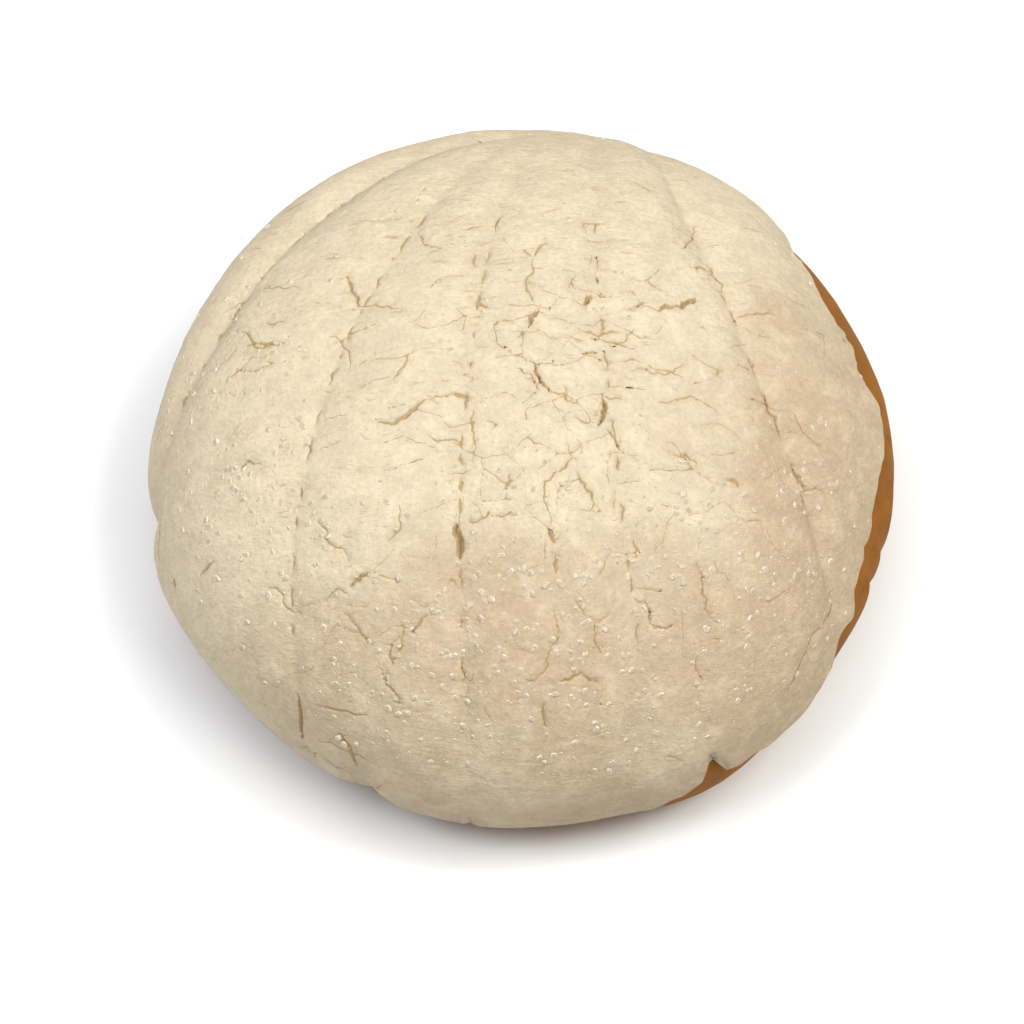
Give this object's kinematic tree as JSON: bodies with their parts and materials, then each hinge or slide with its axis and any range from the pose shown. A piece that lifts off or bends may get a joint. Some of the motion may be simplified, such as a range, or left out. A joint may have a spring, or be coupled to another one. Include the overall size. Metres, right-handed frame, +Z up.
{
  "type": "concha",
  "caption": "Round sweet bread bun, domed on a flat base, under a cap of pale sugar paste scored in a shell-like fan and stopping short of the bread on one side.",
  "frame": {"origin": "middle of the bounding box's bottom face, on the surface the bun stands on", "axes": "+Z up through the crown; +Y towards the hub where the scored lines meet; +X towards the side where the bread shows below the paste"},
  "size_m": [0.1198, 0.1208, 0.0506],
  "materials": {
    "bread": "satin",
    "sugar_paste": "matte"
  },
  "bodies": {
    "root": {"bun": "bread", "sugar_paste": "sugar_paste"}
  },
  "joints": []
}
